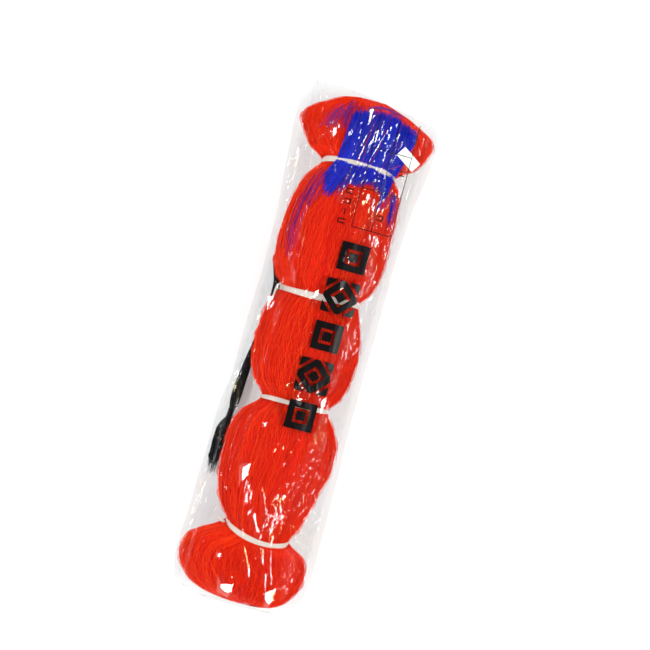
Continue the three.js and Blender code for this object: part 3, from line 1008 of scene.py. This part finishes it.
def oval(reach, extra=0):
    """Points round one section of the contents, with some extra height on its upper side."""
    left, right, top, low = reach * (-1, 1, 1, -1)
    turns = np.linspace(0, ROUND, 72, endpoint=False)
    half = max((top - low) / 2, 0.3 * MM) + extra * (np.sin(turns) > 0)
    wide = max((right - left) / 2, 1 * MM)
    return np.stack([(left + right) / 2 + wide * np.cos(turns), (top + low) / 2 + np.sin(turns) * half], -1)


def film_outlines(places):
    """For each place along the bag, the film's upper and lower line from side crease to side crease."""
    own = reaches(BUNDLE, places, NET_CLEAR)
    net_reach = own + (held_off(places, BUNDLE, FILM_GAP) - own) * climb(places, SEAM, 16 * MM)[:, None]
    hank_reach = held_off(places, HANK, FILM_GAP + 1 * MM)
    near_tag = np.maximum(1 - np.abs(places - TAG_MIDDLE[1]) / (40 * MM), 0)
    near_seam = 1 - climb(places, SEAM, 60 * MM)
    upper, lower = [], []
    for k, place in enumerate(places):
        points = [oval(net_reach[k], 2.6 * MM * climb(place, MARKER_START, 20 * MM))]
        left, right, top, bottom = hank_reach[k]
        if left + right > 2 * MM and top + bottom > 2 * MM:
            points.append(oval(hank_reach[k]))
        if near_tag[k] > 0:
            points.append([(x, z * near_tag[k]) for x, z in TAG_PEAKS])
        crease = CREASE_HEIGHT + (SEAM_HEIGHT - CREASE_HEIGHT) * near_seam[k] ** 2
        start, stop = np.interp(place, *CREASE_LEFT.T), np.interp(place, *CREASE_RIGHT.T)
        points = np.concatenate([*points, [(start, crease), (stop, crease)]])
        points[:, 1] = np.maximum(points[:, 1], 0.5 * MM)
        low_line, high_line = hull(points[(points[:, 0] >= start) & (points[:, 0] <= stop)])
        upper.append(evenly(high_line, FILM_COLUMNS))
        lower.append(evenly(low_line, FILM_COLUMNS))
    return smoothed(np.array(upper), 6), smoothed(np.array(lower), 6)


def mouth_line(x):
    """The mouth's cut edge runs askew, further out at the left than at the right."""
    share = (x - CREASE_LEFT[-1, 1]) / (CREASE_RIGHT[-1, 1] - CREASE_LEFT[-1, 1])
    return MOUTH_LEFT + (MOUTH_RIGHT - MOUTH_LEFT) * share


def clear_of_contents(points):
    """The film's points, pushed straight out of the bundle and the hank where they would lie in them."""
    for rows, gap, marker in ((BUNDLE, NET_CLEAR, 2.2 * MM), (HANK, HANK_CLEAR, 0)):
        middle, reach, half, height = outline(rows, points[..., 1])
        x = points[..., 0] - middle
        z = points[..., 2] - height
        extra = climb(points[..., 1], MARKER_START, 20 * MM) * (z > 0) * marker
        inside = np.sqrt((x / (reach + gap)) ** 2 + (z / (half + gap + extra)) ** 2)
        within = (points[..., 1] > rows[0, 0] - gap) & (points[..., 1] < rows[-1, 0] + gap)
        push = np.where(within & (inside < 1), 1 / np.maximum(inside, 0.05), 1)
        points[..., 0] += x * (push - 1)
        points[..., 2] += z * (push - 1)
    points[..., 2] = np.maximum(points[..., 2], FILM_LOWEST)
    return points


def grid_normals(points):
    return unit(np.cross(np.gradient(points, axis=1), np.gradient(points, axis=0)))


# Further left than this, in millimetres, the bundle hides the main lamp and creases mirror the left one
LEFT_SIDE = -55

# Creases that shine: from x, place to x, place, and the width of the side that faces a lamp, which is
# then made wider by this much
CREASE_WIDEN = 1.35
CREASES = [
    (-42, -146, -16, -196, 3.4), (-16, -196, 4, -236, 3.6), (4, -236, 16, -262, 3.2),
    (16, -262, 30, -304, 1.9), (-14, -162, 16, -236, 2.0), (18, -236, 32, -292, 1.7),
    (-30, -200, -14, -240, 1.3), (-14, -240, 4, -284, 2.4), (4, -284, -10, -312, 1.5),
    (18, -34, 42, -80, 2.6), (42, -80, 62, -120, 1.6), (30, -62, 46, -126, 1.1), (52, 40, 60, 96, 1.2),
    (6, 298, -4, 236, 1.6), (-4, 236, -12, 172, 1.3), (10, 292, 22, 258, 1.5), (14, 286, 4, 240, 2.6),
    (26, 296, 30, 176, 1.4), (40, 292, 34, 196, 1.2), (-8, 286, -26, 236, 1.0), (-34, 268, -48, 246, 2.6),
    (-38, 262, -52, 242, 1.0), (60, 282, 72, 252, 2.2), (12, 214, -12, 172, 1.2), (24, 198, 38, 160, 2.2),
    (38, 160, 14, 157, 1.8), (44, 208, 48, 172, 1.5), (-62, 74, -46, 44, 2.4), (-52, 60, -58, 28, 1.2),
    (-62, 22, -70, -40, 1.0), (46, -72, 70, -96, 1.4), (-70, 250, -76, 160, 1.2),
    (-74, -150, -84, -250, 1.3), (-66, -160, -72, -270, 1.0), (62, -210, 70, -290, 1.4),
    (56, -226, 64, -262, 1.2), (-66, -196, -80, -296, 1.6), (-58, -206, -66, -300, 1.2),
    (-74, -186, -86, -276, 1.4), (-64, -60, -68, -150, 1.1), (-70, -206, -78, -262, 0.9),
    (-62, -226, -72, -286, 0.9), (-80, -150, -84, -240, 1.0), (-74, -20, -78, -130, 0.9),
    (-68, -150, -72, -196, 1.0), (-76, 96, -78, 190, 0.9), (-72, 150, -76, 226, 1.0),
    (-84, 220, -84, 300, 1.0), (-78, 236, -80, 290, 0.8), (-66, 196, -70, 244, 0.9),
    (-60, 208, -66, 240, 0.9), (-20, -70, -6, -96, 0.8), (6, -84, 20, -112, 0.7),
    (30, -104, 44, -140, 0.7), (24, -130, 30, -150, 0.8), (50, -40, 58, -70, 0.8), (54, 10, 60, -24, 0.7),
    (22, 250, 28, 222, 1.2), (0, 262, -14, 224, 1.1), (-36, 244, -20, 206, 1.0),
]

# A fan of thin creases over the marker yarns, from the mouth to the tie and beyond
FAN = [(-8 + 5.4 * k + 2 * (k % 3), 296 - 2.2 * k - 9 * (k % 2), -10 + 4.1 * k, 232 - 7 * (k % 4),
        0.8 + 0.35 * (k % 3)) for k in range(11)]
FAN += [(-6 + 6 * k, 216 + 3 * (k % 2), -14 + 7.5 * k, 180 + 9 * (k % 3), 0.9 + 0.3 * (k % 2))
        for k in range(8)]

# Flat facets that shine: x, place, how far they reach towards and away from the lamp, how wide, turned by
FACETS = [
    (-36, -162, 6, 5, 17, 0.35), (-25, -188, 4, 3, 12, 0.45), (0, 284, 3, 3, 14, -0.2),
    (34, -60, 3, 3, 11, 0.4), (33, -297, 5, 7, 13, 0.5), (-24, -297, 11, 9, 11, -0.3),
    (-40, -262, 4, 3, 5, 0.0), (8, -311, 4, 4, 6, 0.6), (13, 262, 2, 3, 12, 0.1), (22, 190, 2, 3, 8, -0.2),
    (-58, 42, 5, 4, 11, 0.2), (20, 84, 2, 4, 7, 0.4), (-8, 66, 3, 3, 6, 0.3), (4, -62, 5, 4, 6, 0.0),
    (-38, 256, 4, 3, 9, 0.4), (-26, -98, 2, 3, 4, 0.3),
]

# Places strewn with small facets: x, place, reach across, reach along, how many, their size and their length
STREWN = [
    (12, -196, 9, 28, 48, 1.9, 2.6), (44, -176, 13, 52, 30, 0.9, 2.6), (-6, -118, 22, 16, 9, 1.1, 2.6),
    (30, 186, 14, 16, 14, 1.6, 3.4), (41, 141, 8, 9, 7, 2.0, 2.6), (19, 117, 7, 8, 8, 1.6, 2.6),
    (16, 264, 24, 24, 22, 0.8, 11), (6, 212, 22, 14, 12, 0.7, 9), (-38, 262, 10, 12, 7, 1.5, 2.6),
    (0, -50, 14, 10, 8, 1.4, 2.6), (-16, 62, 14, 8, 4, 1.3, 2.6), (-20, -270, 34, 30, 8, 0.9, 2.6),
    (52, 60, 8, 60, 10, 0.9, 4), (-30, 150, 22, 90, 9, 0.7, 2.6), (-20, 0, 24, 50, 6, 0.7, 2.6),
]

# Places where the pleats are deeper than elsewhere: x, place, reach across, reach along, in millimetres
BUSY = [(30, 175, 24, 22), (52, -185, 20, 80)]

# Places where the film is finely crumpled: x, place, reach across, reach along, and how strongly it shines
CRUMPLED = [(13, -198, 9, 27, 0.75), (40, -172, 15, 60, 0.26), (56, -200, 12, 60, 0.26),
            (30, 152, 22, 12, 0.3), (-12, 58, 8, 12, 0.3), (4, -52, 10, 12, 0.3), (8, 182, 16, 14, 0.3)]


def near_spot(x, y, spot, power):
    """1 at the middle of a spot given as x, place, reach across and reach along, and 0 far from it."""
    middle, place, across, along = spot[:4]
    return np.exp(-(((x - middle) / across) ** power) - ((y - place) / along) ** power)


def strewn_facets():
    draw = np.random.default_rng(77)
    made = []
    for middle, place, across, along, count, size, long in STREWN:
        for _ in range(count):
            x, y = middle + draw.normal(0, 0.5) * across, place + draw.normal(0, 0.5) * along
            near, far, half_width = size * draw.uniform(0.5, 1.3, 3)
            made.append((x, y, near, far, long * half_width, draw.uniform(-0.6, 0.9) * 2.6 / long))
    return made


def shine_slope(points, base_y, place, length):
    """The slopes across and along that film needs at these points to mirror a long lamp to the viewer."""
    seen = np.array([*VIEW_MIDDLE.xy, VIEW_HEIGHT]) - points
    seen /= np.linalg.norm(seen, axis=-1, keepdims=True)
    lamp = np.broadcast_to(place, points.shape).copy()
    best = points[..., 1] + 2.1 * (-1.7 * base_y - seen[..., 1])
    lamp[..., 1] = np.clip(best, place[1] - 0.42 * length, place[1] + 0.42 * length)
    half = unit(lamp - points) + seen
    return -half[..., 0] / half[..., 2], -half[..., 1] / half[..., 2]


def shine_of(x, y, raised):
    """How strongly the film mirrors: full on its creases, less on the calm sheet that lies on the net."""
    shine = 0.14 + 0.5 * climb(np.abs(x + 3), 58, 12)
    for spot in CRUMPLED:
        shine = shine + spot[4] * near_spot(x, y, spot, 2)
    return np.maximum(np.clip(shine, 0, 0.8), np.clip(4 * raised, 0, 1))


def pleats(x, y):
    """Long shallow pleats with flat sides, finer over the film's free sides, and fine crumples in places."""
    busy = np.clip(0.34 + 0.6 * sum(near_spot(x, y, spot, 4) for spot in BUSY), 0, 1)
    relief = 0.80 * (1 + triangle(x / 37 + y / 210 + 0.2)) + 0.72 * (1 + triangle(x / 23 - y / 160))
    relief = relief + 0.30 * (1 + triangle(x / 14.5 + y / 95 + 0.4 * triangle(y / 140)))
    relief = relief + 0.26 * (1 + triangle(y / 46 + x / 60)) * (0.6 + 0.4 * triangle(x / 31 + 0.3))
    sides = 1.4 * climb(-x, 58, 10) + 0.4 * climb(x, 54, 16)
    relief = relief * busy + sides * (1 + triangle(x / 11 + y / 460 + 0.3 * np.sin(y / 90)))
    fine = 0.40 * triangle(x / 5.3 + y / 19) + 0.34 * triangle(x / 7.9 - y / 13 + 0.3)
    fine = fine + 0.22 * triangle(x / 4.1 + y / 8.7)
    return (relief + sum(near_spot(x, y, spot, 2) for spot in CRUMPLED) * (1 + fine)) * MM


def crease_height(x, y, crease, slopes):
    """A crease as a tent with one side, where the crease is wide enough, that mirrors its lamp."""
    x0, y0, x1, y1, width = crease
    dx, dy = x1 - x0, y1 - y0
    length = math.hypot(dx, dy)
    side = np.array((-dy, dx)) / length
    side = side if side[0] > 0 else -side
    t = ((x - x0) * dx + (y - y0) * dy) / length**2
    wander = 0.9 * triangle(t * length / 53 + x0 / 7) + 0.35 * triangle(t * length / 15 + y0 / 9)
    off = (x - x0) * side[0] + (y - y0) * side[1] + wander
    taper = np.clip(5 * np.minimum(t, 1 - t), 0, 1) * (0.75 + 0.25 * triangle(t * length / 31 + y0 / 5))
    wide = CREASE_WIDEN * width * np.clip(taper, 0.12, 1)
    drop = np.clip(1.1 * (slopes[0] * side[0] + slopes[1] * side[1]), 0.06, 1.5)
    crest = drop * wide
    tent = np.where(off > 0, crest - drop * off, crest * (1 + off / (1.6 * wide + 1.5)))
    return np.where((t > -0.02) & (t < 1.02), tent, 0)


def facet_height(x, y, height, facet, want_x, want_y, base_x):
    """A flat facet that mirrors its lamp, cut off by steeper flanks all round."""
    middle, place, near, far, half_width, turn = facet
    u, v = x - middle, y - place
    spot = np.argmin(u**2 + v**2)
    anchor = -far if base_x.flat[spot] < want_x.flat[spot] else near
    foot = np.argmin((u - anchor) ** 2 + v**2)
    across = v * math.cos(turn) - u * math.sin(turn)
    plane = want_x.flat[spot] * (u - anchor) + want_y.flat[spot] * v + (height.flat[foot] - height)
    front = 1.2 * (near + 1 - u) + 0.5 * across
    back = 1.1 * (u + far) + 0.25 * across
    sides = 0.9 * (half_width - np.abs(across) - 0.35 * np.maximum(across * 0.8, -across * 0.2))
    return np.minimum.reduce([plane, front, back, sides])


def add_shine(points):
    """Raises creases and facets out of the film, each with a side that mirrors a lamp."""
    normals = grid_normals(points)
    base_x, base_y = [-normals[..., axis] / np.maximum(normals[..., 2], 0.3) for axis in (0, 1)]
    to_key = shine_slope(points, base_y, KEY_PLACE, KEY_LENGTH)
    to_left = shine_slope(points, base_y, LEFT_PLACE, LEFT_LENGTH)
    x, y, height = np.moveaxis(points / MM, -1, 0)
    raised = np.zeros_like(x)
    for crease in CREASES + FAN:
        want_x, want_y = to_left if crease[0] < LEFT_SIDE else to_key
        raised = np.maximum(raised, crease_height(x, y, crease, (base_x - want_x, base_y - want_y)))
    for facet in FACETS + strewn_facets():
        wanted = to_left if facet[0] < LEFT_SIDE else to_key
        raised = np.maximum(raised, facet_height(x, y, height, facet, *wanted, base_x))
    points[..., 2] += raised * MM * climb(points[..., 1], SEAM, 5 * MM)
    return points, shine_of(x, y, raised)


# The print's column of blocks: centre of the first, step to the next and size, in millimetres
BLOCKS = 5
BLOCK_FIRST = (12.0, -78.0)
BLOCK_STEP = (3.0, 49.0)
BLOCK_SIZE = 40.6
BLOCK_PITCHES = (11.5, 15.5)

# Its dashes and the lines of its empty grid, as low and high x, low and high place
DASHES = [
    (-6, 3, 154, 155.4), (-6, 3, 158.6, 160), (-6, -4.6, 155, 159), (-1, 0.4, 165, 172),
    (-5, 4, 178, 179.3), (-5, 4, 183, 184.3), (2.7, 4, 179, 184), (-5, 4, 190, 191.4), (-5, 4, 195, 196.4),
    (-5, -3.6, 191, 196), (38, 46, 168, 169.4), (38, 46, 173, 174.4), (44.6, 46, 169, 174),
    (50, 57, 226, 227.3), (50, 57, 231, 232.3),
]
GRID_LINES = [(12, 60, 200.6, 201.6), (12, 60, 249.6, 250.6), (12, 60, 153, 154), (11.6, 12.5, 153, 290),
              (35.6, 36.5, 153, 290), (59.6, 60.5, 153, 290)]


def print_mask(look, place):
    """Black print without any lettering: a column of barred blocks, short dashes and an empty grid."""
    x = look.node("SeparateXYZ", {"Vector": place}, "X")
    y = x.node.outputs["Y"]
    half = BLOCK_SIZE / 2 * MM
    marks = []
    for number in range(BLOCKS):
        u, v = [look.math("SUBTRACT", axis, (first + number * step) * MM)
                for axis, first, step in zip((x, y), BLOCK_FIRST, BLOCK_STEP)]
        inside = look.math("MULTIPLY", look.band(u, -half, half), look.band(v, -half, half))
        rings = look.math(("MAXIMUM", "ADD")[number % 2], look.math("ABSOLUTE", u), look.math("ABSOLUTE", v))
        pitch = BLOCK_PITCHES[number % 2] * MM
        bars = look.math("FRACT", look.math("MULTIPLY_ADD", rings, 1 / pitch, 0.22))
        marks.append(look.math("MULTIPLY", inside, look.math("LESS_THAN", bars, 0.7)))
    for bounds in DASHES + GRID_LINES:
        x0, x1, y0, y1 = [value * MM for value in bounds]
        marks.append(look.math("MULTIPLY", look.band(x, x0, x1), look.band(y, y0, y1)))
    total = marks[0]
    for mark in marks[1:]:
        total = look.math("MAXIMUM", total, mark)
    return total


def film_material(name, with_print):
    """Thin clear film: a slight grey in the sheet, gloss, faint draw lines and, on the front, the print."""
    look = Look(name)
    place = look.place()
    cloud = look.noise(place, 26.0, 3.0)
    bump = look.bump(look.math("ADD", look.noise(place, 1.0, 3.0, (420, 7, 420)), cloud), 0.1, 0.3 * MM)
    look.fill(look.shader, {
        "Base Color": look.ramp(cloud, [(0.52, (0.92, 0.92, 0.94, 1)), (0.62, (1.0, 0.82, 0.46, 1))]),
        "Metallic": 1.0, "Roughness": look.remap(cloud, 0.04, 0.12), "Normal": bump})
    facing = look.node("LayerWeight", {"Blend": 0.25, "Normal": bump}, "Facing")
    gloss = look.remap(look.math("POWER", facing, 3.0), 0.075, 0.45)
    shine = look.painted("shine")
    specks = look.remap(look.noise(place, 1.0, 2.0, (420, 90, 420)), 0.2, 2.6, 0.56, 0.66)
    full = look.remap(shine, 0.0, 1.0, 0.5, 0.9)
    specks = look.node("Mix", {"Factor": full, "A": specks, "B": 1.0})
    gloss = look.math("MULTIPLY", gloss, look.math("MULTIPLY", shine, specks))
    clear = look.node("BsdfTransparent", {"Color": (0.922, 0.936, 0.938, 1)})
    film = look.node("MixShader", {0: gloss, 1: clear, 2: look.shader.outputs[0]})
    if with_print:
        ink = look.node("BsdfPrincipled", {"Base Color": srgb(12, 9, 10), "Roughness": 0.3,
                                           "Specular IOR Level": 0.12})
        film = look.node("MixShader", {0: print_mask(look, place), 1: film, 2: ink})
    look.fill(look.tree.nodes["Material Output"], {"Surface": film})
    return look.material


def film_sheet(name, lines, places, front, replaces):
    """One sheet of the bag over its outlines, drawn out to the mouth's edge, with its pleats and shine."""
    points = np.stack([lines[..., 0], np.broadcast_to(places[:, None], lines.shape[:2]), lines[..., 1]], -1)
    stretch = climb(points[..., 1], MOUTH_START, 86 * MM)
    points[..., 1] += stretch**1.3 * (mouth_line(points[..., 0]) - BAG_END)
    points = clear_of_contents(points)
    side = 1 if front else -1
    across = np.linspace(0, 1, FILM_COLUMNS)
    edge = climb(np.minimum(across, 1 - across), 0, 0.02)
    relief = pleats(points[..., 0] * side / MM, points[..., 1] / MM)
    relief = relief * edge * climb(points[..., 1], SEAM, 9 * MM)
    if not front:
        relief = relief * 0.6 * climb(points[..., 2], 0.6 * MM, 6 * MM)
    points = points + side * grid_normals(points) * relief[..., None]
    faces = grid_faces(FILM_ROWS, FILM_COLUMNS)
    if front:
        points, shine = add_shine(points)
        material = film_material("printed_film", True)
    else:
        points[..., 2] = np.maximum(points[..., 2], FILM_LOWEST)
        faces = [face[::-1] for face in faces]
        shine = np.full(relief.shape, 0.5)
        material = PLAIN_FILM
    sheet = add_piece(name, (points.reshape(-1, 3), faces), material, "bag", "clear_film", smooth=False,
                      replaces=replaces, shine=shine.ravel())
    return sheet, points[0]


SEAM_FILM = 0.3 * MM
SEAM_DEPTH = 2.2 * MM
SEAM_STEPS = 12
WELD_DEPTH = 1.6 * MM
WELD_STEPS = 5
PLAIN_FILM = film_material("plain_film", False)


def make_bottom_seam(front_edge, back_edge):
    """The gathered end of the bag: both sheets drawn in to one line, and the welded edge beyond it."""
    share = np.linspace(0, 1, FILM_COLUMNS)
    left, right = (front_edge[[0, -1]] + back_edge[[0, -1]]) / 2
    line = left * 0.86 + right * 0.14 + np.outer(share, (right - left) * 0.72)
    line[:, 1] = SEAM - SEAM_DEPTH
    line[:, 2] = (front_edge[:, 2].max() + back_edge[:, 2].min()) / 2 + 1.5 * MM * np.sin(7 * share)
    gather = 0.5 * MM * triangle(share * 46 + 0.4 * np.sin(19 * share))
    sides = []
    for edge, side in ((front_edge, 1), (back_edge, -1)):
        rows = []
        for step in np.linspace(0, 1, SEAM_STEPS):
            row = edge * (1 - step) + line * step
            row[:, 1] = SEAM - SEAM_DEPTH * step**0.6 + 0.5 * gather * math.sin(math.pi * step)
            row[:, 2] += side * SEAM_FILM * step
            rows.append(row)
        for step in np.linspace(0.2, 1, WELD_STEPS):
            row = rows[SEAM_STEPS - 1].copy()
            row[:, 1] -= WELD_DEPTH * step
            row[:, 2] += gather * (0.4 + 0.6 * step)
            rows.append(row)
        sides.append(rows)
    front_rows, back_rows = sides
    points = np.concatenate([*front_rows, *back_rows[::-1]])
    faces = grid_faces(2 * (SEAM_STEPS + WELD_STEPS), FILM_COLUMNS)
    add_piece("bag_bottom_gather", (points, faces), PLAIN_FILM, "bag", "clear_film", smooth=False,
              replaces=("bag_bottom_seal",), shine=np.full(len(points), 0.45))


film_places = np.linspace(SEAM, BAG_END, FILM_ROWS)
upper_lines, lower_lines = film_outlines(film_places)
front_film, front_edge = film_sheet("bag_front_sheet", upper_lines, film_places, True, ("bag_front_film",))
back_film, back_edge = film_sheet("bag_back_sheet", lower_lines, film_places, False, ("bag_back_film",))
make_bottom_seam(front_edge, back_edge)

make_stage()
